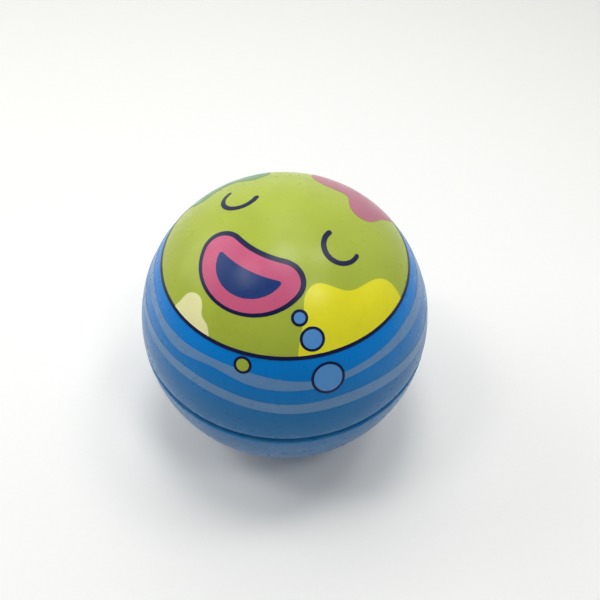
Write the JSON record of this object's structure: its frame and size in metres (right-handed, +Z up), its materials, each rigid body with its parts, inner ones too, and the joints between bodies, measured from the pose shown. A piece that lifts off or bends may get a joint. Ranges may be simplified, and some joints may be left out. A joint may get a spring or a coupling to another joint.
{
  "type": "stress ball",
  "caption": "Round foam stress ball with a parting groove round its middle, a printed lime disc on top and two pale wavy bands; it squeezes down and springs back.",
  "frame": {"origin": "middle of the small flat that the ball rests on", "axes": "+Z up through the middle of the printed disc, square to the parting groove; -Y towards the front, where the printed mouth and dots are; +X to the ball's right as seen from the front"},
  "size_m": [0.063, 0.063, 0.063],
  "materials": {
    "foam": "open-cell polyurethane foam",
    "blue_skin": "satin self-skinned polyurethane foam",
    "lime_ink": "satin ink",
    "navy_ink": "satin ink",
    "yellow_ink": "satin ink",
    "pink_ink": "satin ink",
    "cream_ink": "satin ink",
    "teal_ink": "satin ink",
    "pale_blue_ink": "satin ink",
    "rose_ink": "satin ink",
    "deep_blue_ink": "satin ink",
    "bubble_ink": "satin ink"
  },
  "bodies": {
    "lower_half": {"foam_core": "foam", "lower_skin": "blue_skin", "seam_web": "blue_skin"},
    "upper_half": {"upper_skin": "blue_skin", "lime_disc": "lime_ink", "navy_rim": "navy_ink", "yellow_patch": "yellow_ink", "pink_patch": "pink_ink", "cream_patch": "cream_ink", "teal_patch": "teal_ink", "wave_band_high": "pale_blue_ink", "wave_band_low": "pale_blue_ink", "mouth_outline": "navy_ink", "mouth_lip": "rose_ink", "mouth_inside": "deep_blue_ink", "left_eye": "navy_ink", "right_eye": "navy_ink", "big_bubble": "bubble_ink", "big_bubble_rim": "navy_ink", "middle_bubble": "bubble_ink", "middle_bubble_rim": "navy_ink", "small_bubble": "bubble_ink", "small_bubble_rim": "navy_ink", "lime_dot": "lime_ink", "lime_dot_rim": "navy_ink"}
  },
  "joints": [
    {"name": "squeeze", "type": "slide", "parent": "lower_half", "child": "upper_half", "axis": [0, 0, -1], "range_m": [0, 0.02], "stiffness_N_per_m": 2000, "springref_m": -0.0005, "deforming": ["foam_core", "lower_skin", "seam_web", "upper_skin", "lime_disc", "navy_rim", "yellow_patch", "pink_patch", "cream_patch", "teal_patch", "wave_band_high", "wave_band_low", "mouth_outline", "mouth_lip", "mouth_inside", "left_eye", "right_eye", "big_bubble", "big_bubble_rim", "middle_bubble", "middle_bubble_rim", "small_bubble", "small_bubble_rim", "lime_dot", "lime_dot_rim"]}
  ]
}
